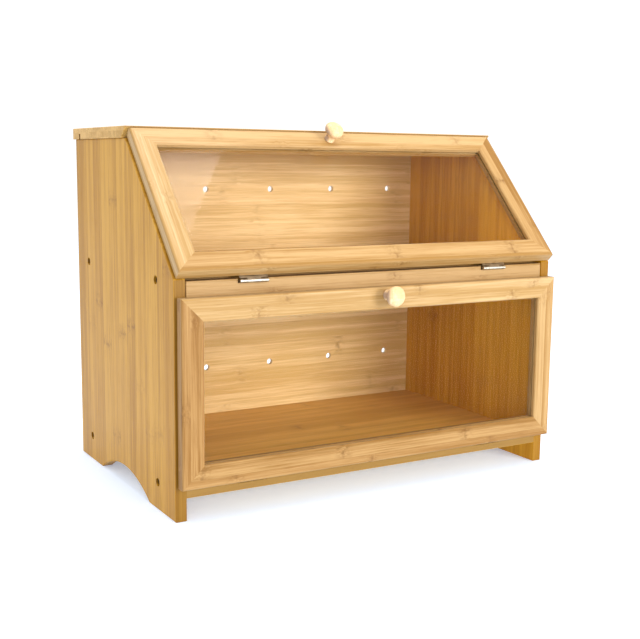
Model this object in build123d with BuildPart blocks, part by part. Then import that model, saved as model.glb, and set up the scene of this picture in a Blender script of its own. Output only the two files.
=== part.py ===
"""Two-tier bread bin of laminated bamboo, with two glazed drop-down doors.

Millimetres. +X to the right, +Y to the back, +Z up. The origin is on the floor, at the
centre of the closed bin's footprint, knobs and top board included.
The carcass is two side panels with boards screwed between them. Each door is a mitred frame
around a clear pane, hung at its bottom edge on two small butt hinges.
"""

import os
from math import atan2, cos, hypot, sin

from build123d import *

# ------------------------------------------------------------------ driving dimensions

# carcass
width = 380.0  # over the outer faces of the side panels
side_depth = 236.0  # front edge to back edge of a side panel
side_height = 302.0  # floor to the top edge of a side panel
side_t = 9.5  # thickness of a side panel
slope_z = 193.3  # height where the slanted front edge starts
slope_run = 102.5  # how far back the slanted edge ends
edge_ease = 0.8  # small radius on every handled edge

arch_width = 120.0  # cut-out that leaves two feet under a side panel
arch_rise = 16.6
front_foot = 57.5  # length of the front foot

board_t = 9.5  # thickness of the shelf and the bottom board
bottom_board_z = 18.5  # underside of the bottom board
shelf_drop = 7.0  # underside of the middle shelf, below the top of the front rail
board_setback = 1.5  # boards stop short of the side panels' back edges

top_t = 10.0  # thickness of the top board
top_side_overhang = 2.0
top_back_overhang = 2.0
top_door_gap = 0.8  # between the top board's undercut nose and the upper door

rail_t = 9.5  # thickness of the front rail between the doors
rail_height = 20.0
rail_drop = 1.1  # top of the rail, below the start of the slope
rail_reveal = 12.3  # height of the rail left showing above the lower door
rail_end_gap = 0.8

back_t = 4.0  # thickness of the two back panels
back_front = 216.0  # front edge of the side panels to the front face of the back panels
back_groove = 3.0  # depth of the grooves that hold the back panels
top_groove = 5.0  # depth of the groove under the top board
groove_fit = 0.1  # clearance around a panel in its groove

vent_d = 6.0
vent_count = 5
vent_pitch = 72.0
vent_shift = 6.0  # the row of vents sits a little to the right
upper_vent_rise = 61.0  # vents above the board below them
lower_vent_rise = 48.0

# doors
door_gap = 1.0  # between a closed door and the edges behind it
door_t = 10.0
member_w = 19.0  # width of the frame members
frame_round = 2.0  # radius along the outer front edge
frame_bevel = 1.0  # bevel along the inner front edge
frame_back_bevel = 0.7  # bevel along the outer back edge
upper_door_inset = 1.5  # side edge of the upper door to a side panel's outer face
upper_door_start = 0.3  # bottom edge of the upper door, up the slope
upper_door_overrun = 2.1  # top edge of the upper door, past the top of the slope
lower_door_inset = 1.75
lower_door_rise = 0.3  # bottom edge of the lower door, above the bottom board

pane_t = 2.0
pane_bite = 4.6  # how far the pane enters the frame
pane_slot_depth = 5.0
pane_fit = 0.1

# knobs
knob_d = 18.0
knob_height = 17.5
knob_foot_d = 10.0
knob_neck_d = 8.6
knob_neck_at = 0.22  # heights along a knob, as shares of the whole
knob_flare_at = 0.45
knob_rim_at = 0.68
knob_crown_at = 0.92
knob_flare = 0.66  # radii at those heights, as shares of the rim's
knob_crown = 0.72
upper_knob_inset = 9.6  # knob centre to the door's top edge
lower_knob_inset = 6.8
knob_screw_d = 3.5
knob_screw_head_d = 6.6
knob_screw_head_h = 2.0
knob_screw_bite = 10.0  # length of the screw inside the knob

# hinges
hinge_length = 25.0
hinge_r = 1.6  # radius of the barrel
leaf_t = 0.8
leaf_width = 8.0
leaf_clear = 0.3  # between a leaf and the other leaf's knuckle
leaf_corner_r = 0.8
pin_d = 1.6
pin_bevel = 0.2
pin_fit = 0.05  # radial running clearance of the pin
knuckle_gap = 0.15
hinge_x = 122.0  # hinge centre to the middle of the bin
barrel_clear = 0.3  # between the barrel and the wood around it
mortise_end_gap = 1.0
hinge_screw_d = 2.2
hinge_screw_head_d = 4.2
hinge_screw_length = 6.0
hinge_screw_pitch = 15.0
hinge_screw_row = 4.4  # near edge of a leaf's plate to its screws

# fasteners and catch
screw_fit = 0.05  # radial clearance around every screw, dowel and magnet
screw_point_d = 0.6  # blunt tip of a screw
recess_span = 0.6  # cross recess of a screw, as shares of its head
recess_width = 0.13
recess_depth = 0.6
panel_screw_d = 3.8
panel_screw_head_d = 6.6
panel_screw_head_h = 2.2
panel_screw_length = 32.0
counterbore_d = 7.2
counterbore_depth = 4.0
screw_from_front = 37.5  # front row of panel screws
screw_from_back = 31.5  # back row of panel screws
dowel_d = 6.0
dowel_length = 20.0
dowel_in_top = 6.0
dowel_from_end = 30.0
magnet_d = 5.0
magnet_t = 2.0
disc_t = 1.0
magnet_x = 40.0
magnet_below_door_top = 4.0

# ------------------------------------------------------------------ places worked out

front_reach = door_gap + door_t + knob_height  # from the side panels' front edge forward
back_reach = side_depth + top_back_overhang
front = (front_reach - back_reach) / 2  # Y of the side panels' front edges
back = front + side_depth
inner_x = width / 2 - side_t
top_z = side_height + top_t

rail_top_z = slope_z - rail_drop
shelf_z = rail_top_z - shelf_drop  # underside of the middle shelf
shelf_top = shelf_z + board_t
bottom_board_top = bottom_board_z + board_t
board_depth = side_depth - board_setback

slope_rise = side_height - slope_z
slope = atan2(slope_rise, slope_run)
slope_length = hypot(slope_rise, slope_run)
up_slope = (0, cos(slope), sin(slope))
off_slope = (0, -sin(slope), cos(slope))


def slope_point(along, off):
    """The Y and Z of a point along the slanted edge and square off it."""
    y = front + along * cos(slope) - off * sin(slope)
    return y, slope_z + along * sin(slope) + off * cos(slope)


upper_door_width = width - 2 * upper_door_inset
upper_door_length = slope_length + upper_door_overrun - upper_door_start
lower_door_width = width - 2 * lower_door_inset
lower_door_z = bottom_board_top + lower_door_rise
lower_door_height = rail_top_z - rail_reveal - lower_door_z

# Each door has a plane on its back face: X to the right, Y up the door, Z out to the front.
upper_y, upper_z = slope_point(upper_door_start, door_gap)
upper_plane = Plane(origin=(0, upper_y, upper_z), x_dir=(1, 0, 0), z_dir=off_slope)
lower_plane = Plane(origin=(0, front - door_gap, lower_door_z), x_dir=(1, 0, 0), z_dir=(0, -1, 0))

# A hinge's axis lies one barrel radius behind its door's back face. The upper barrels hang just
# in front of the rail, and the lower ones turn in pockets at the bottom board's front edge.
upper_axis_y = front - hinge_r - barrel_clear
upper_axis_off = door_gap - hinge_r
upper_axis_z = slope_z + (upper_axis_off + (upper_axis_y - front) * sin(slope)) / cos(slope)
lower_axis_y = front - door_gap + hinge_r
lower_axis_z = bottom_board_top - hinge_r
plate_start = hinge_r + leaf_clear  # barrel axis to the near edge of a leaf's plate
plate_end = plate_start + leaf_width
screw_row = plate_start + hinge_screw_row

os.makedirs("parts", exist_ok=True)


def save(piece, name):
    """Labels a finished piece and writes its STEP file."""
    piece.label = name
    export_step(piece, f"parts/{name}.step")


# ------------------------------------------------------------------ side panels

back_slot_y = front + back_front + back_t / 2
back_slot_w = back_t + 2 * groove_fit
screw_ys = (front + screw_from_front, back - screw_from_back)
screw_zs = (bottom_board_z + board_t / 2, shelf_z + board_t / 2)
dowel_ys = (front + slope_run + dowel_from_end, back - dowel_from_end)
arch_front = front + front_foot

for side, sign in (("left", -1), ("right", 1)):
    outer_plane = Plane(origin=(sign * width / 2, 0, 0), x_dir=(0, 1, 0), z_dir=(1, 0, 0))
    inner_plane = outer_plane.offset(-sign * side_t)
    with BuildPart() as side_panel:
        with BuildSketch(inner_plane):
            with BuildLine():
                ThreePointArc(
                    (arch_front, 0),
                    (arch_front + arch_width / 2, arch_rise),
                    (arch_front + arch_width, 0),
                )
                Polyline(
                    (arch_front + arch_width, 0),
                    (back, 0),
                    (back, side_height),
                    (front + slope_run, side_height),
                    (front, slope_z),
                    (front, 0),
                    (arch_front, 0),
                )
            make_face()
        extrude(amount=sign * side_t)
        outer_edges = side_panel.faces().sort_by(Axis.X)[-1 if sign > 0 else 0].edges()
        fillet(outer_edges, radius=edge_ease)

        # groove for the back panels, from the bottom board up to the top edge
        groove_low = bottom_board_z + board_t - back_groove
        with BuildSketch(inner_plane):
            with Locations((back_slot_y, (groove_low + side_height) / 2)):
                Rectangle(back_slot_w, side_height - groove_low)
        extrude(amount=sign * back_groove, mode=Mode.SUBTRACT)

        # counterbored screw holes into the ends of the boards
        with BuildSketch(outer_plane):
            with Locations(*[(y, z) for y in screw_ys for z in screw_zs]):
                Circle(counterbore_d / 2)
        extrude(amount=-sign * counterbore_depth, mode=Mode.SUBTRACT)
        with BuildSketch(outer_plane):
            with Locations(*[(y, z) for y in screw_ys for z in screw_zs]):
                Circle(panel_screw_d / 2 + screw_fit)
        extrude(amount=-sign * side_t, mode=Mode.SUBTRACT)

        # dowel holes in the top edge
        with BuildSketch(Plane.XY.offset(side_height)):
            with Locations(*[(sign * (width - side_t) / 2, y) for y in dowel_ys]):
                Circle(dowel_d / 2 + screw_fit)
        extrude(amount=dowel_in_top - dowel_length, mode=Mode.SUBTRACT)
    save(side_panel.part, f"{side}_side_panel")

# ------------------------------------------------------------------ top board

nose = upper_door_start + upper_door_length + top_door_gap  # where the nose is cut, up the slope


def nose_y(z):
    """The Y where the top board's undercut nose crosses a height."""
    return front + (nose - (z - slope_z) * sin(slope)) / cos(slope)


with BuildPart() as top_board:
    with BuildSketch(Plane.YZ):
        with BuildLine():
            Polyline(
                (nose_y(side_height), side_height),
                (nose_y(top_z), top_z),
                (back + top_back_overhang, top_z),
                (back + top_back_overhang, side_height),
                (nose_y(side_height), side_height),
            )
        make_face()
    extrude(amount=width / 2 + top_side_overhang, both=True)
    top_edges = top_board.faces().sort_by(Axis.Z)[-1].edges()
    ends = top_board.edges().filter_by(Plane.YZ).filter_by(Axis.Y, reverse=True)
    fillet(top_edges + ends, radius=edge_ease)
    with BuildSketch(Plane.XY.offset(side_height)):
        with Locations((0, back_slot_y)):
            Rectangle(width + 2 * top_side_overhang, back_slot_w)
    extrude(amount=top_groove, mode=Mode.SUBTRACT)
    with BuildSketch(Plane.XY.offset(side_height)):
        with Locations(*[(s * (width - side_t) / 2, y) for s in (-1, 1) for y in dowel_ys]):
            Circle(dowel_d / 2 + screw_fit)
    extrude(amount=dowel_in_top + screw_fit, mode=Mode.SUBTRACT)
save(top_board.part, "top_board")

with BuildPart() as top_board_dowels:
    with BuildSketch(Plane.XY.offset(side_height + dowel_in_top)):
        with Locations(*[(s * (width - side_t) / 2, y) for s in (-1, 1) for y in dowel_ys]):
            Circle(dowel_d / 2)
    extrude(amount=screw_fit - dowel_length)
save(top_board_dowels.part, "top_board_dowels")

# ------------------------------------------------------------------ boards and front rail

end_hole_depth = counterbore_depth + panel_screw_length - side_t + screw_fit
screw_xs = (-hinge_screw_pitch / 2, hinge_screw_pitch / 2)
hinge_xs = (-hinge_x, hinge_x)


def fixed_plane(x, axis_y, axis_z):
    """Plane on a hinge's axis for its fixed leaf: Y into the bin, Z up."""
    return Plane(origin=(x, axis_y, axis_z), x_dir=(1, 0, 0), z_dir=(0, 0, 1))


def screw_places(plane):
    """Where the two screw heads of a leaf lie, on the face of its plate."""
    return [plane.location * Location((x, screw_row, leaf_t - hinge_r)) for x in screw_xs]


def drill_leaf_screws(plane):
    """Drills the pilot holes for a leaf's two screws."""
    with Locations(*screw_places(plane)):
        Cylinder(
            hinge_screw_d / 2 + screw_fit,
            hinge_screw_length + screw_fit,
            align=(Align.CENTER, Align.CENTER, Align.MAX),
            mode=Mode.SUBTRACT,
        )


def cut_hinge_mortises(axis_y, axis_z, wood_top):
    """Cuts the two open mortises in a front edge, with room for the barrels to turn."""
    length = hinge_length + 2 * mortise_end_gap
    floor = axis_z - hinge_r
    pocket_back = axis_y + hinge_r + barrel_clear
    leaf_back = axis_y + plate_end + screw_fit
    for x in hinge_xs:
        with BuildSketch(Plane.XY.offset(wood_top)) as leaf_recess:
            with Locations((x, front)):
                Rectangle(length, 2 * (leaf_back - front))
        extrude(leaf_recess.sketch, amount=floor - wood_top, mode=Mode.SUBTRACT)
        if pocket_back > front + screw_fit:
            with BuildSketch(Plane.XY.offset(wood_top)) as pocket:
                with Locations((x, front)):
                    Rectangle(length, 2 * (pocket_back - front))
            depth = wood_top - floor + barrel_clear
            extrude(pocket.sketch, amount=-depth, mode=Mode.SUBTRACT)
        drill_leaf_screws(fixed_plane(x, axis_y, axis_z))


def board_blank(y_from, z_from):
    """A board between the side panels, with eased front edges and drilled ends."""
    with BuildSketch(Plane.XY.offset(z_from)) as outline:
        with Locations((0, (y_from + front + board_depth) / 2)):
            Rectangle(2 * inner_x, front + board_depth - y_from)
    board = extrude(outline.sketch, amount=board_t)
    front_edges = board.faces().sort_by(Axis.Y)[0].edges().filter_by(Axis.X)
    fillet(front_edges, radius=edge_ease)
    for sign in (-1, 1):
        end = Plane(origin=(sign * inner_x, 0, 0), x_dir=(0, 1, 0), z_dir=(1, 0, 0))
        with BuildSketch(end) as holes:
            with Locations(*[(y, z_from + board_t / 2) for y in screw_ys]):
                Circle(panel_screw_d / 2 + screw_fit)
        extrude(holes.sketch, amount=-sign * end_hole_depth, mode=Mode.SUBTRACT)


def cut_back_groove(z, depth):
    """Cuts the groove for a back panel across a board, down or up from a face."""
    with BuildSketch(Plane.XY.offset(z)) as groove:
        with Locations((0, back_slot_y)):
            Rectangle(2 * inner_x, back_slot_w)
    extrude(groove.sketch, amount=depth, mode=Mode.SUBTRACT)


with BuildPart() as bottom_board:
    board_blank(front, bottom_board_z)
    cut_back_groove(bottom_board_top, -back_groove)
    cut_hinge_mortises(lower_axis_y, lower_axis_z, bottom_board_top)
save(bottom_board.part, "bottom_board")

with BuildPart() as middle_shelf:
    board_blank(front + rail_t, shelf_z)
    cut_back_groove(shelf_top, -back_groove)
    cut_back_groove(shelf_z, back_groove)
save(middle_shelf.part, "middle_shelf")

# The rail is glued along the front edge of the shelf, just short of the side panels.
magnet_z = lower_door_z + lower_door_height - magnet_below_door_top
with BuildPart() as front_rail:
    with BuildSketch(Plane.XY.offset(rail_top_z - rail_height)):
        with Locations((0, front + rail_t / 2)):
            Rectangle(2 * (inner_x - rail_end_gap), rail_t)
    extrude(amount=rail_height)
    fillet(front_rail.faces().sort_by(Axis.Y)[0].edges(), radius=edge_ease)
    cut_hinge_mortises(upper_axis_y, upper_axis_z, rail_top_z)
    with BuildSketch(Plane.XZ.offset(-front)):
        with Locations((-magnet_x, magnet_z), (magnet_x, magnet_z)):
            Circle(magnet_d / 2 + screw_fit)
    extrude(amount=-magnet_t, mode=Mode.SUBTRACT)
save(front_rail.part, "front_rail")

with BuildPart() as catch_magnets:
    with BuildSketch(Plane.XZ.offset(-front)):
        with Locations((-magnet_x, magnet_z), (magnet_x, magnet_z)):
            Circle(magnet_d / 2)
    extrude(amount=-magnet_t)
save(catch_magnets.part, "catch_magnets")

# ------------------------------------------------------------------ back panels

back_panel_w = 2 * (inner_x + back_groove - groove_fit)
vent_xs = [vent_shift + (i - (vent_count - 1) / 2) * vent_pitch for i in range(vent_count)]
panel_plane = Plane.XZ.offset(-(front + back_front))
back_panels = (
    ("lower", bottom_board_top, shelf_z + back_groove - groove_fit, lower_vent_rise),
    ("upper", shelf_top, side_height + top_groove - groove_fit, upper_vent_rise),
)

for level, board_top, panel_top, vent_rise in back_panels:
    panel_low = board_top - back_groove
    with BuildPart() as back_panel:
        with BuildSketch(panel_plane):
            with Locations((0, (panel_low + panel_top) / 2)):
                Rectangle(back_panel_w, panel_top - panel_low)
            with Locations(*[(x, board_top + vent_rise) for x in vent_xs]):
                Circle(vent_d / 2, mode=Mode.SUBTRACT)
        extrude(amount=-back_t)
    save(back_panel.part, f"{level}_back_panel")

# ------------------------------------------------------------------ screws


def wood_screw(head_d, head_h, shank_d, length):
    """A countersunk cross-head screw, with the top of its head at the origin."""
    with BuildPart() as screw:
        with BuildSketch(Plane.XZ):
            with BuildLine():
                Polyline(
                    (0, 0),
                    (head_d / 2, 0),
                    (shank_d / 2, -head_h),
                    (shank_d / 2, shank_d - length),
                    (screw_point_d / 2, -length),
                    (0, -length),
                    (0, 0),
                )
            make_face()
        revolve(axis=Axis.Z)
        recess = (head_d * recess_span, head_d * recess_width, head_h * recess_depth)
        for turn in (0, 90):
            with Locations(Location((0, 0, 0), (0, 0, turn))):
                Box(*recess, align=(Align.CENTER, Align.CENTER, Align.MAX), mode=Mode.SUBTRACT)
    return screw.part


panel_screw = wood_screw(
    panel_screw_head_d, panel_screw_head_h, panel_screw_d, panel_screw_length
)
leaf_screw = wood_screw(hinge_screw_head_d, leaf_t, hinge_screw_d, hinge_screw_length)
head_depth = counterbore_depth - panel_screw_head_h

for side, sign in (("left", -1), ("right", 1)):
    outer_plane = Plane(
        origin=(sign * (width / 2 - head_depth), 0, 0), x_dir=(0, 1, 0), z_dir=(sign, 0, 0)
    )
    with BuildPart() as panel_screws:
        with Locations(
            *[
                outer_plane.location * Location((y, sign * z, 0))
                for y in screw_ys
                for z in screw_zs
            ]
        ):
            add(panel_screw)
    save(panel_screws.part, f"{side}_panel_screws")

# ------------------------------------------------------------------ doors


def door_frame(door, plane, w, h, knob_y):
    """Makes and saves the four mitred members of a door, its pane and its knob."""
    x, m = w / 2, member_w
    inner = x - m
    members = {
        "bottom_rail": ((-x, 0), (x, 0), (inner, m), (-inner, m)),
        "top_rail": ((-x, h), (x, h), (inner, h - m), (-inner, h - m)),
        "left_stile": ((-x, 0), (-x, h), (-inner, h - m), (-inner, m)),
        "right_stile": ((x, 0), (x, h), (inner, h - m), (inner, m)),
    }
    outward = {
        "bottom_rail": -plane.y_dir,
        "top_rail": plane.y_dir,
        "left_stile": -plane.x_dir,
        "right_stile": plane.x_dir,
    }
    centre = plane.location * Location((0, h / 2, door_t / 2))
    slot = (
        2 * (inner + pane_slot_depth),
        h - 2 * (m - pane_slot_depth),
        pane_t + 2 * pane_fit,
    )
    for member_name, corners in members.items():
        away = Axis((0, 0, 0), outward[member_name])
        out = Axis((0, 0, 0), plane.z_dir)
        run = plane.x_dir if "rail" in member_name else plane.y_dir
        along = Axis((0, 0, 0), run)
        with BuildPart() as member:
            with BuildSketch(plane):
                with BuildLine():
                    Polyline(*corners, corners[0])
                make_face()
            extrude(amount=door_t)
            long_edges = member.edges().filter_by(along)
            fillet(long_edges.group_by(out)[-1].sort_by(away)[-1], radius=frame_round)
            long_edges = member.edges().filter_by(along)
            chamfer(long_edges.group_by(out)[-1].sort_by(away)[0], length=frame_bevel)
            long_edges = member.edges().filter_by(along)
            chamfer(long_edges.group_by(out)[0].sort_by(away)[-1], length=frame_back_bevel)
            with Locations(centre):
                Box(*slot, mode=Mode.SUBTRACT)
            if member_name == "top_rail":
                with Locations(plane.location * Location((0, knob_y, 0))):
                    Cylinder(
                        knob_screw_d / 2 + screw_fit,
                        2 * door_t,
                        mode=Mode.SUBTRACT,
                    )
                    Cone(
                        knob_screw_head_d / 2 + screw_fit,
                        knob_screw_d / 2 + screw_fit,
                        knob_screw_head_h,
                        align=(Align.CENTER, Align.CENTER, Align.MIN),
                        mode=Mode.SUBTRACT,
                    )
            if member_name == "bottom_rail":
                for hinge in door_hinges[door]:
                    drill_leaf_screws(hinge)
            if (door, member_name) == ("lower_door", "top_rail"):
                with Locations(*catch_places):
                    Cylinder(
                        magnet_d / 2 + screw_fit,
                        disc_t,
                        align=(Align.CENTER, Align.CENTER, Align.MIN),
                        mode=Mode.SUBTRACT,
                    )
        save(member.part, f"{door}_{member_name}")

    with BuildPart() as pane:
        with Locations(centre):
            Box(2 * (inner + pane_bite), h - 2 * (m - pane_bite), pane_t)
    save(pane.part, f"{door}_pane")

    turned = Plane(
        origin=(plane.location * Location((0, knob_y, door_t))).position,
        x_dir=plane.x_dir,
        z_dir=-plane.y_dir,
    )
    foot_r, neck_r, head_r = knob_foot_d / 2, knob_neck_d / 2, knob_d / 2
    flare = (head_r * knob_flare, knob_height * knob_flare_at)
    with BuildPart() as knob:
        with BuildSketch(turned):
            with BuildLine():
                Line((0, 0), (foot_r, 0))
                ThreePointArc((foot_r, 0), (neck_r, knob_height * knob_neck_at), flare)
                Spline(
                    flare,
                    (head_r, knob_height * knob_rim_at),
                    (head_r * knob_crown, knob_height * knob_crown_at),
                    (0, knob_height),
                    tangents=((1, 0.35), (-1, 0)),
                )
                Line((0, knob_height), (0, 0))
            make_face()
        revolve(axis=Axis(turned.origin, plane.z_dir))
        with Locations(Location(turned.origin, plane.location.orientation)):
            Cylinder(
                knob_screw_d / 2 + screw_fit,
                2 * (knob_screw_bite + screw_fit),
                mode=Mode.SUBTRACT,
            )
    save(knob.part, f"{door}_knob")

    knob_screw = wood_screw(
        knob_screw_head_d, knob_screw_head_h, knob_screw_d, door_t + knob_screw_bite
    )
    behind = Plane(origin=plane.origin, x_dir=-plane.x_dir, z_dir=-plane.z_dir)
    with BuildPart() as knob_screws:
        with Locations(behind.location * Location((0, knob_y, 0))):
            add(knob_screw)
    save(knob_screws.part, f"{door}_knob_screw")


def hinge_leaf(plane, knuckles):
    """A hinge leaf on its axis plane, with its plate against the wood and its knuckles."""
    with BuildPart() as leaf:
        seat = plane.offset(-hinge_r)
        with BuildSketch(seat):
            with Locations((0, plate_start + leaf_width / 2)):
                RectangleRounded(hinge_length, leaf_width, leaf_corner_r)
            for low, high in knuckles:
                with Locations(((low + high) / 2, plate_start / 2 + leaf_t / 2)):
                    Rectangle(high - low, plate_start + leaf_t)
        extrude(amount=leaf_t)
        for low, high in knuckles:
            end = plane.location * Location((low, 0, 0))
            with BuildSketch(Plane(origin=end.position, x_dir=plane.y_dir, z_dir=plane.x_dir)):
                Circle(hinge_r)
            extrude(amount=high - low)
        with BuildSketch(Plane(origin=plane.origin, x_dir=plane.y_dir, z_dir=plane.x_dir)):
            Circle(pin_d / 2 + pin_fit)
        extrude(amount=hinge_length, both=True, mode=Mode.SUBTRACT)
        with Locations(*screw_places(plane)):
            Cone(
                hinge_screw_d / 2 + screw_fit,
                hinge_screw_head_d / 2 + screw_fit,
                leaf_t,
                align=(Align.CENTER, Align.CENTER, Align.MAX),
                mode=Mode.SUBTRACT,
            )
    return leaf.part


half, quarter = hinge_length / 2, hinge_length / 4
outer_knuckles = ((-half, -quarter), (quarter, half))
middle_knuckle = ((knuckle_gap - quarter, quarter - knuckle_gap),)
axes = {
    "upper_door": (upper_axis_y, upper_axis_z, upper_plane),
    "lower_door": (lower_axis_y, lower_axis_z, lower_plane),
}
door_hinges = {
    door: [
        Plane(origin=(x, axis_y, axis_z), x_dir=(-1, 0, 0), z_dir=-plane.z_dir)
        for x in hinge_xs
    ]
    for door, (axis_y, axis_z, plane) in axes.items()
}
catch_places = [
    lower_plane.location * Location((x, lower_door_height - magnet_below_door_top, 0))
    for x in (-magnet_x, magnet_x)
]

door_frame(
    "upper_door",
    upper_plane,
    upper_door_width,
    upper_door_length,
    upper_door_length - upper_knob_inset,
)
door_frame(
    "lower_door",
    lower_plane,
    lower_door_width,
    lower_door_height,
    lower_door_height - lower_knob_inset,
)

with BuildPart() as catch_discs:
    with Locations(*catch_places):
        Cylinder(magnet_d / 2, disc_t, align=(Align.CENTER, Align.CENTER, Align.MIN))
save(catch_discs.part, "lower_door_catch_discs")

# ------------------------------------------------------------------ hinges

for door, (axis_y, axis_z, plane) in axes.items():
    fixed = [fixed_plane(x, axis_y, axis_z) for x in hinge_xs]
    for side, carcass_side, door_side in zip(("left", "right"), fixed, door_hinges[door]):
        save(hinge_leaf(carcass_side, outer_knuckles), f"{door}_{side}_hinge_fixed_leaf")
        save(hinge_leaf(door_side, middle_knuckle), f"{door}_{side}_hinge_door_leaf")
        with BuildPart() as hinge_pin:
            end = Plane(
                origin=carcass_side.origin, x_dir=carcass_side.y_dir, z_dir=carcass_side.x_dir
            )
            with BuildSketch(end):
                Circle(pin_d / 2)
            extrude(amount=half, both=True)
            chamfer(hinge_pin.edges().filter_by(GeomType.CIRCLE), length=pin_bevel)
        save(hinge_pin.part, f"{door}_{side}_hinge_pin")

    for holder, planes in (("frame", fixed), ("door", door_hinges[door])):
        with BuildPart() as leaf_screws:
            with Locations(*[place for p in planes for place in screw_places(p)]):
                add(leaf_screw)
        save(leaf_screws.part, f"{door}_hinge_{holder}_screws")
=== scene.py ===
"""A two-tier bread bin of laminated bamboo: the looks of its boards, doors, knobs and hinges."""

from math import cos, floor, pi, radians, sin

import bpy
from mathutils import Matrix, Vector


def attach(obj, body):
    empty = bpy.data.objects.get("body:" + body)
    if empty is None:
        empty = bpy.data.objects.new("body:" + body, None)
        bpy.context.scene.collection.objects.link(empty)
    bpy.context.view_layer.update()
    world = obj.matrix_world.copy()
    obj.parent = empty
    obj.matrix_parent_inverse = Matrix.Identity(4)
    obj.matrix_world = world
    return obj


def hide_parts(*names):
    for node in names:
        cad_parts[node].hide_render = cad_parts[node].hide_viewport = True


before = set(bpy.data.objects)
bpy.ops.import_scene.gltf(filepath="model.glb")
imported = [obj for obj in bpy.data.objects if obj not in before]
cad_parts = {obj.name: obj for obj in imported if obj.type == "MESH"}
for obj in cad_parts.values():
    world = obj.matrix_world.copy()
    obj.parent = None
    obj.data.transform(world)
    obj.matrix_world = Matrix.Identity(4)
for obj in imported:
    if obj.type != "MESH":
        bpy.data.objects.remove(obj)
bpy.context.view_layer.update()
bpy.ops.object.select_all(action="DESELECT")

# ---------------------------------------------------------------- side panels
# The two side panels carry the whole bin and stand on the counter with their four feet. Each is
# a board of flat bamboo strips, glued edge to edge with the fibres upright, sanded, eased along
# its edges and sprayed with a clear satin lacquer. The right one, seen only from inside, is
# painted a warmer, brighter orange: painted light for the warm glow bounced round inside the bin.


class Wire:
    """A socket in a finish's node tree. Sums on it add Math nodes, and add() any other node."""

    def __init__(self, tree, socket=None):
        self.tree, self.socket = tree, socket

    def add(self, kind, settings=None, sockets=None, take=0):
        """Adds a node: its settings first, then the values or wires of its sockets."""
        node = self.tree.nodes.new(kind)
        for key, value in (settings or {}).items():
            setattr(node, key, value)
        for key, value in (sockets or {}).items():
            if isinstance(value, Wire):
                self.tree.links.new(value.socket, node.inputs[key])
            else:
                node.inputs[key].default_value = value
        return Wire(self.tree, node.outputs[take] if node.outputs else None)

    def maths(self, operation, first, second=0.0):
        return self.add("ShaderNodeMath", {"operation": operation}, {0: first, 1: second})

    def __add__(self, other):
        return self.maths("ADD", self, other)

    def __radd__(self, other):
        return self.maths("ADD", other, self)

    def __sub__(self, other):
        return self.maths("SUBTRACT", self, other)

    def __rsub__(self, other):
        return self.maths("SUBTRACT", other, self)

    def __mul__(self, other):
        return self.maths("MULTIPLY", self, other)

    def __rmul__(self, other):
        return self.maths("MULTIPLY", other, self)

    def __truediv__(self, other):
        return self.maths("DIVIDE", self, other)

    def __rtruediv__(self, other):
        return self.maths("DIVIDE", other, self)

    def __pow__(self, other):
        return self.maths("POWER", self, other)

    def __rpow__(self, other):
        return self.maths("POWER", other, self)

    def __abs__(self):
        return self.maths("ABSOLUTE", self)

    def __floor__(self):
        return self.maths("FLOOR", self)

    def __mod__(self, other):
        return self.maths("FLOORED_MODULO", self, other)

    def __rmod__(self, other):
        return self.maths("FLOORED_MODULO", other, self)

    def at_least(self, low):
        return self.maths("MAXIMUM", self, low)

    def at_most(self, high):
        return self.maths("MINIMUM", self, high)

    def fade(self, low, high, to_low=0.0, to_high=1.0):
        """Goes smoothly from to_low to to_high as the value goes from low to high."""
        return self.add(
            "ShaderNodeMapRange",
            {"interpolation_type": "SMOOTHSTEP"},
            {0: self, 1: low, 2: high, 3: to_low, 4: to_high},
        )

    def tint(self, first, second, mode="MIX"):
        """Mixes two colours, with this value as the share of the second."""
        settings = {"data_type": "RGBA", "blend_type": mode}
        return self.add("ShaderNodeMix", settings, {0: self, 6: first, 7: second}, 2)

    def split(self):
        """The three parts of a vector or a colour."""
        parts = self.add("ShaderNodeSeparateXYZ", None, {0: self}).socket.node.outputs
        return [Wire(self.tree, part) for part in parts]

    def join(self, second, third):
        return self.add("ShaderNodeCombineXYZ", None, {0: self, 1: second, 2: third})

    def noise(self, detail=3.0, roughness=0.5, take=0):
        """Soft noise at this vector."""
        sockets = {"Vector": self, "Scale": 1.0, "Detail": detail, "Roughness": roughness}
        return self.add("ShaderNodeTexNoise", None, sockets, take)


def new_finish(name):
    """An empty material, with a wire that starts its node tree."""
    material = bpy.data.materials.new(name)
    material.use_nodes = True
    material.node_tree.nodes.clear()
    return material, Wire(material.node_tree)


def finish_off(wire, sockets):
    """Ends a node tree in one Principled shader."""
    shader = wire.add("ShaderNodeBsdfPrincipled", None, sockets)
    wire.add("ShaderNodeOutputMaterial", None, {"Surface": shader})


def coat(node_names, material):
    """Gives CAD nodes a finish."""
    for node_name in node_names:
        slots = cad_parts[node_name].material_slots
        for slot in slots:
            slot.material = material


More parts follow.
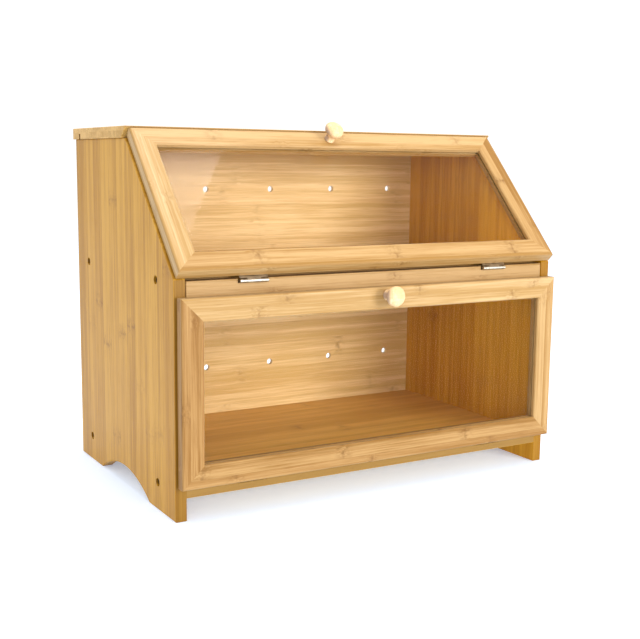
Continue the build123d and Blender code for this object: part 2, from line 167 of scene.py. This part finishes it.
def bamboo(name, along, across, strip, layer, pale, deep, seed=0.0, knuckle_gap=0.21, edge=0.65):
    """Laminated bamboo, with its fibres along one direction and its strips side by side across.

    A strip is that wide and a layer that thick. The seed picks the canes, knuckle_gap is the
    spacing of a cane's knuckles, and edge is how far the saw-cut edges darken: partly their own
    darker tone, partly painted shade for edges that sit in shadow.
    """
    material, start = new_finish(name)
    along, across = Vector(along).normalized(), Vector(across).normalized()
    turn = Matrix((along, across, along.cross(across))).to_euler()
    place = start.add("ShaderNodeTexCoord", take="Object")
    place = start.add(
        "ShaderNodeMapping", None, {"Vector": place, "Location": (seed, 0, 0), "Rotation": turn}
    )
    run, side, through = place.split()
    facing = start.add("ShaderNodeTexCoord", take="Normal")
    facing = start.add("ShaderNodeMapping", None, {"Vector": facing, "Rotation": turn})
    end_face, edge_face, _ = facing.split()

    # strips, each with its own tone, and the thin glue lines between them
    rows = side / strip + seed
    strip_place = floor(rows).join(floor(through / layer + seed), seed)
    strip_noise = start.add("ShaderNodeTexWhiteNoise", None, {"Vector": strip_place}, 1)
    tone, shift, warmth = strip_noise.split()
    seam = abs(rows % 1.0 - 0.5).fade(0.5 - 0.00025 / strip, 0.5)

    # knuckles: where the cane had its joints, the fibres swirl round a darker ring
    wander = (run * 60.0).join(side * 260.0, shift * 40.0).noise(2.0)
    ring_at = run / knuckle_gap + shift * 7.0 + (wander - 0.5) * 0.03
    off_ring = abs(ring_at % 1.0 - 0.5) * knuckle_gap
    zone = off_ring.fade(0.002, 0.012, 1.0, 0.0)
    swirl = (run * 150.0).join(side * 240.0, through * 240.0).noise(3.0, 0.65)
    side = side + (swirl - 0.5) * zone * 0.009
    ring = off_ring.fade(0.0, 0.002, 1.0, 0.0) * swirl.fade(0.35, 0.55)
    blotch = zone * swirl.fade(0.38, 0.66)

    # fibres: broad streaks, fine threads and short dark vessels
    streak = (run * 2.4).join(side * 120.0, through * 120.0 + shift * 30.0).noise(4.0, 0.6)
    thread = (run * 14.0).join(side * 620.0, through * 620.0).noise(4.0, 0.7)
    vessel = (run * 50.0).join(side * 1300.0, through * 1300.0).noise(2.0, 0.5).fade(0.58, 0.72)
    cloud = (run * 9.0).join(side * 14.0, through * 14.0 + shift * 9.0).noise(2.0)

    body = 0.5 + (tone - 0.5) * 0.75 + (streak - 0.5) * 3.0 + (thread - 0.5) * 2.8
    body = body + (cloud - 0.5) * 1.0
    colour = body.at_least(0.0).at_most(1.0).tint((*deep, 1.0), (*pale, 1.0))
    rosy = tuple(c * k for c, k in zip(pale, (0.95, 0.85, 0.78)))
    colour = (warmth * 0.2).tint(colour, (*rosy, 1.0))
    brown = tuple(c * k for c, k in zip(deep, (0.60, 0.52, 0.46)))
    clear = (shift * 7.3 % 1.0).fade(0.1, 0.9, 0.25, 1.0)
    darker = vessel * 0.28 + seam * 0.30 + (blotch * 0.42 + ring * 0.30) * clear
    darker = darker + abs(end_face).fade(0.8, 0.97) * 0.08
    colour = darker.at_most(0.85).tint(colour, (*brown, 1.0))
    # edge colour: partly the cut edges' own darker tone, partly painted shade for edges in shadow,
    # such as the feet under the lower door and the gaps beside the doors
    sawn_and_shaded = tuple(c * k for c, k in zip(deep, (0.34, 0.33, 0.60)))
    colour = (abs(edge_face).fade(0.6, 0.95) * edge).tint(colour, (*sawn_and_shaded, 1.0))

    ripple = (run * 10.0).join(side * 420.0, through * 420.0).noise(1.0)
    height = ripple * 0.5 + streak * 0.4 + ring * 0.4 - seam * 0.5
    bump = {"Height": height, "Strength": 0.2, "Distance": 0.0001}
    finish_off(
        start,
        {
            "Base Color": colour,
            "Roughness": 0.42 + (thread - 0.5) * 0.2 + vessel * 0.12,
            "Specular IOR Level": 0.15,
            "Coat Weight": 0.05 + (cloud - 0.5) * 0.03,
            "Coat Roughness": 0.25,
            "Normal": start.add("ShaderNodeBump", None, bump),
        },
    )
    return material


for side, pale, deep, seed in (
    ("left", (0.53, 0.275, 0.034), (0.34, 0.152, 0.008), 0.0),
    # the right panel's warmer, brighter orange is painted light: the warm glow bounced round inside
    # the bin
    ("right", (0.66, 0.34, 0.022), (0.46, 0.20, 0.004), 0.47),
):
    panel_bamboo = bamboo(
        f"{side}_side_panel_bamboo",
        along=(0, 0, 1),
        across=(0, 1, 0),
        strip=0.0205,
        layer=0.0048,
        pale=pale,
        deep=deep,
        seed=seed,
    )
    coat((f"{side}_side_panel",), panel_bamboo)

# ---------------------------------------------------------------- top board
# The lid of the carcass is one bamboo board with its fibres across the bin. It lies on the side
# panels, glued on hidden dowels, and its undercut nose meets the top edge of the upper door.

top_bamboo = bamboo(
    "top_board_bamboo",
    along=(1, 0, 0),
    across=(0, 1, 0),
    strip=0.0205,
    layer=0.005,
    pale=(0.64, 0.39, 0.13),
    deep=(0.43, 0.24, 0.055),
    seed=0.37,
)
coat(("top_board", "top_board_dowels"), top_bamboo)

# ---------------------------------------------------------------- shelf and bottom board
# Both boards are screwed between the side panels. Their strips run across the bin, and their
# back grooves hold the thin back panels.

shelf_bamboo = bamboo(
    "shelf_bamboo",
    along=(1, 0, 0),
    across=(0, 1, 0),
    strip=0.0205,
    layer=0.00475,
    pale=(0.78, 0.47, 0.10),
    deep=(0.58, 0.31, 0.040),
    seed=0.61,
    edge=0.85,
)
coat(("middle_shelf", "bottom_board"), shelf_bamboo)

# ---------------------------------------------------------------- front rail
# The rail covers the shelf's front edge between the two doors, and holds the upper hinges and
# the two catch magnets. It is sawn from edge-glued strips, so its face shows narrow bands.

rail_bamboo = bamboo(
    "front_rail_bamboo",
    along=(1, 0, 0),
    across=(0, 0, 1),
    strip=0.0066,
    layer=0.0095,
    pale=(0.41, 0.25, 0.10),
    deep=(0.28, 0.145, 0.035),
    seed=0.13,
)
coat(("front_rail",), rail_bamboo)

# ---------------------------------------------------------------- back panels
# Two thin bamboo panels slide into grooves in the side panels and boards. Their wide, pale
# strips lie across the bin, and a row of drilled vents lets each compartment breathe.

back_bamboo = bamboo(
    "back_panel_bamboo",
    along=(1, 0, 0),
    across=(0, 0, 1),
    strip=0.0205,
    layer=0.004,
    pale=(0.84, 0.61, 0.29),
    deep=(0.62, 0.39, 0.125),
    seed=0.29,
)
coat(("upper_back_panel", "lower_back_panel"), back_bamboo)

# ---------------------------------------------------------------- door frames
# Each door is four bamboo members, mitred and glued at the corners and grooved for the pane.
# The fibres follow each member, cut from its own cane, and the upper door leans back along the
# slanted edges of the side panels. How deep each member's tone is comes partly from its cane and
# partly is painted light and shade: the lower door's bottom rail and left stile are painted
# darker and its top rail paler, and the upper door's left stile paler and right stile darker.

lean = radians(46.68)  # of the upper door, from level
doors = {  # the way up each door, its share of the seed, and how deep each member's tone is
    # these member tones are partly each cane's own tone and partly painted light and shade
    "upper_door": (Vector((0, cos(lean), sin(lean))), 0.05, (1.05, 1.0, 0.88, 1.18)),
    "lower_door": (Vector((0, 0, 1)), 0.0, (1.24, 0.92, 1.32, 1.06)),
}
for door, (up, shift, tones_with_painted_light) in doors.items():
    members = (
        ("bottom_rail", (1, 0, 0), up, 0.17),
        ("top_rail", (1, 0, 0), up, 0.34),
        ("left_stile", up, (1, 0, 0), 0.51),
        ("right_stile", up, (1, 0, 0), 0.68),
    )
    for (member, along, across, seed), tone in zip(members, tones_with_painted_light):
        member_bamboo = bamboo(
            f"{door}_{member}_bamboo",
            along=along,
            across=across,
            strip=0.0125,
            layer=0.005,
            pale=tuple(c**tone for c in (0.47, 0.30, 0.13)),
            deep=tuple(c**tone for c in (0.31, 0.165, 0.042)),
            seed=seed + shift,
            knuckle_gap=0.13,
            edge=0.1,
        )
        coat((f"{door}_{member}",), member_bamboo)

# ---------------------------------------------------------------- panes
# Each pane is a sheet of clear acrylic, 2 mm thick, held loose in the frame's groove. It is
# polished and almost colourless, with the faint smears that wiping leaves.

pane_acrylic, start = new_finish("clear_acrylic")
x, y, z = start.add("ShaderNodeTexCoord", take="Object").split()
smear = (x * 9.0 + z * 5.0).join(y * 14.0, z * 26.0).noise(3.0, 0.6).fade(0.4, 0.75)
facing = start.add("ShaderNodeLayerWeight", None, {"Blend": 0.5}, "Facing")
gloss = 0.003 + facing**5.0 * 0.9
finish_off(
    start,
    {
        "Base Color": (1.0, 1.0, 1.0, 1.0),
        "Metallic": 1.0,
        "Roughness": 0.03 + smear * 0.05,
        "Alpha": gloss * (0.9 + smear * 0.3),
    },
)
coat(("upper_door_pane", "lower_door_pane"), pane_acrylic)

# ---------------------------------------------------------------- knobs
# The two knobs are turned from bamboo on a lathe: a narrow foot, a waist and a round crown.
# Each is drawn tight against its top rail by a screw from the inside.

knob_rings = (  # height above the rail and radius, from the foot to the crown
    (0.0, 0.0047),
    (0.0004, 0.0050),
    (0.0020, 0.0046),
    (0.0039, 0.0043),
    (0.0058, 0.0047),
    (0.0074, 0.0056),
    (0.0086, 0.0068),
    (0.0100, 0.0082),
    (0.0118, 0.0089),
    (0.0136, 0.0087),
    (0.0153, 0.0074),
    (0.0166, 0.0052),
    (0.0173, 0.0026),
)
for door, (up, shift, _) in doors.items():
    out = Vector((1, 0, 0)).cross(up)
    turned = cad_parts[f"{door}_knob"].data.vertices
    spans = []
    for way in (Vector((1, 0, 0)), up):
        reach = [v.co.dot(way) for v in turned]
        spans.append(way * (min(reach) + max(reach)) / 2)
    foot = spans[0] + spans[1] + out * min(v.co.dot(out) for v in turned)
    bpy.ops.mesh.primitive_circle_add(
        vertices=48,
        radius=knob_rings[0][1],
        fill_type="NGON",
        location=foot,
        rotation=(out.to_track_quat("Z", "Y").to_euler()),
    )
    knob = bpy.context.object
    knob.name = f"{door}_turned_knob"
    bpy.ops.object.mode_set(mode="EDIT")
    bpy.ops.mesh.select_all(action="SELECT")
    for (height, radius), (next_height, next_radius) in zip(knob_rings, knob_rings[1:]):
        bpy.ops.mesh.extrude_region_move(
            TRANSFORM_OT_translate={"value": out * (next_height - height)}
        )
        bpy.ops.transform.resize(value=(next_radius / radius,) * 3)
    bpy.ops.mesh.extrude_region_move(TRANSFORM_OT_translate={"value": out * 0.0002})
    bpy.ops.mesh.merge(type="CENTER")
    bpy.ops.mesh.select_all(action="SELECT")
    bpy.ops.mesh.normals_make_consistent(inside=False)
    bpy.ops.object.mode_set(mode="OBJECT")
    bpy.ops.object.transform_apply(location=True, rotation=True, scale=True)
    bpy.ops.object.shade_smooth()
    round_off = knob.modifiers.new("round_off", "SUBSURF")
    round_off.levels = round_off.render_levels = 1
    bpy.ops.object.modifier_apply(modifier="round_off")
    knob_bamboo = bamboo(
        f"{door}_knob_bamboo",
        along=out,
        across=(1, 0, 0),
        strip=0.0066,
        layer=0.010,
        pale=(0.80, 0.57, 0.33),
        deep=(0.63, 0.42, 0.21),
        seed=0.83 + shift,
    )
    knob.data.materials.append(knob_bamboo)
    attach(knob, door)
    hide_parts(f"{door}_knob")
    bpy.ops.object.select_all(action="DESELECT")

# ---------------------------------------------------------------- hinges
# Four small butt hinges of bent and rolled steel carry the doors, nickel plated and slightly
# scuffed by the fingers and the wood. Their pins are bright steel wire.

hinge_nickel, start = new_finish("hinge_nickel")
x, y, z = start.add("ShaderNodeTexCoord", take="Object").split()
scuff = (x * 260.0).join(y * 1900.0, z * 1900.0).noise(4.0, 0.6)
haze = (x * 130.0).join(y * 130.0, z * 130.0).noise(3.0, 0.55)
finish_off(
    start,
    {
        "Base Color": haze.fade(0.3, 0.7).tint((0.38, 0.34, 0.27, 1.0), (0.56, 0.51, 0.42, 1.0)),
        "Metallic": 1.0,
        "Roughness": 0.20 + scuff * 0.18 + haze * 0.08,
        "Normal": start.add(
            "ShaderNodeBump", None, {"Height": scuff, "Strength": 0.2, "Distance": 0.00005}
        ),
    },
)
hinge_parts = ("left_hinge_fixed_leaf", "right_hinge_fixed_leaf", "left_hinge_door_leaf")
hinge_parts += ("right_hinge_door_leaf", "left_hinge_pin", "right_hinge_pin")
coat([f"{door}_{part}" for door in doors for part in hinge_parts], hinge_nickel)

# ---------------------------------------------------------------- screws
# Countersunk cross-head screws hold the bin together: long ones sunk in counterbores in the side
# panels, a screw behind each knob and small ones in the hinges. They are zinc plated. The long
# panel screws are painted near black instead: painted shade for the deep counterbores they sit in.

for finish_name, bright, dull, screws in (
    (
        "hinge_screw_zinc",
        (0.66, 0.64, 0.59, 1.0),
        (0.50, 0.48, 0.44, 1.0),
        [f"{door}_{part}" for door in doors for part in ("hinge_frame_screws", "hinge_door_screws")]
        + [f"{door}_knob_screw" for door in doors],
    ),
    (
        "panel_screw_painted_shade",
        # near black: painted shade for the deep counterbores, in place of the screws' own plating
        (0.12, 0.08, 0.05, 1.0),
        (0.06, 0.04, 0.025, 1.0),
        ["left_panel_screws", "right_panel_screws"],
    ),
):
    screw_finish, start = new_finish(finish_name)
    x, y, z = start.add("ShaderNodeTexCoord", take="Object").split()
    grime = (x * 420.0).join(y * 420.0, z * 420.0).noise(4.0, 0.6)
    finish_off(
        start,
        {
            "Base Color": grime.fade(0.35, 0.7).tint(dull, bright),
            "Metallic": 1.0,
            "Roughness": 0.28 + grime * 0.25,
        },
    )
    coat(screws, screw_finish)

# ---------------------------------------------------------------- catch
# Two nickel-plated magnets in the front rail pull two steel discs in the lower door's top rail.
# Both sit in drilled pockets, out of sight while the door is shut.

magnet_nickel, start = new_finish("magnet_nickel")
x, y, z = start.add("ShaderNodeTexCoord", take="Object").split()
cloudy = (x * 500.0).join(y * 500.0, z * 500.0).noise(3.0, 0.5)
finish_off(
    start,
    {
        "Base Color": cloudy.tint((0.70, 0.69, 0.67, 1.0), (0.82, 0.81, 0.79, 1.0)),
        "Metallic": 1.0,
        "Roughness": 0.08 + cloudy * 0.14,
    },
)
coat(("catch_magnets", "lower_door_catch_discs"), magnet_nickel)

# ---------------------------------------------------------------- studio
# A softly glowing white table under a white sky, with a wide key lamp in front to the right, a
# weaker one to the left and a small one overhead.

bpy.ops.mesh.primitive_plane_add(size=8.0, location=(0, 0, 0))
table = bpy.context.object
table.name = "table_top"
table_paint, start = new_finish("table_paint")
x, y, _ = start.add("ShaderNodeTexCoord", take="Object").split()
mottle = (x * 2.0).join(y * 2.0, 0.0).noise(2.0, 0.5)
finish_off(
    start,
    {
        "Base Color": mottle.tint((0.76, 0.84, 0.91, 1.0), (0.79, 0.87, 0.94, 1.0)),
        "Roughness": 0.9,
        "Specular IOR Level": 0.1,
        "Emission Color": (0.56, 0.70, 1.0, 1.0),
        "Emission Strength": 0.36,
    },
)
table.data.materials.append(table_paint)

sky = bpy.data.worlds.new("white_sky")
bpy.context.scene.world = sky
sky.use_nodes = True
sky.node_tree.nodes["Background"].inputs["Color"].default_value = (1.0, 1.0, 1.0, 1.0)
sky.node_tree.nodes["Background"].inputs["Strength"].default_value = 1.12

for lamp_name, place, aim, turn, wide, deep, power in (
    ("overhead_lamp", (-0.004, -0.023, 1.2), (-0.004, -0.023, 0.0), -0.405, 0.62, 0.40, 6.2),
    ("key_lamp", (0.72, -1.85, 0.50), (0, 0, 0.14), 0.0, 0.9, 0.6, 30.0),
    ("fill_lamp", (-1.1, -1.7, 0.45), (0.1, 0, 0.12), 0.0, 0.8, 0.6, 9.0),
):
    bpy.ops.object.light_add(type="AREA", location=place)
    lamp = bpy.context.object
    lamp.name = lamp_name
    facing = (Vector(aim) - Vector(place)).to_track_quat("-Z", "Y").to_matrix()
    lamp.rotation_euler = (Matrix.Rotation(turn, 3, "Z") @ facing).to_euler()
    lamp.data.shape = "RECTANGLE"
    lamp.data.size, lamp.data.size_y = wide, deep
    lamp.data.energy = power

heading, dip, roll = -0.5298, 0.1509, 0.0116  # of the camera, in radians
bpy.ops.object.camera_add(location=(-0.49587, -0.84926, 0.28567))
camera = bpy.context.object
facing = Matrix.Rotation(heading, 3, "Z") @ Matrix.Rotation(pi / 2 - dip, 3, "X")
camera.rotation_euler = (facing @ Matrix.Rotation(roll, 3, "Z")).to_euler()
camera.data.lens = 59.027
camera.data.sensor_width = 36.0
camera.data.clip_start = 0.01
bpy.context.scene.camera = camera
bpy.context.scene.view_settings.view_transform = "Standard"
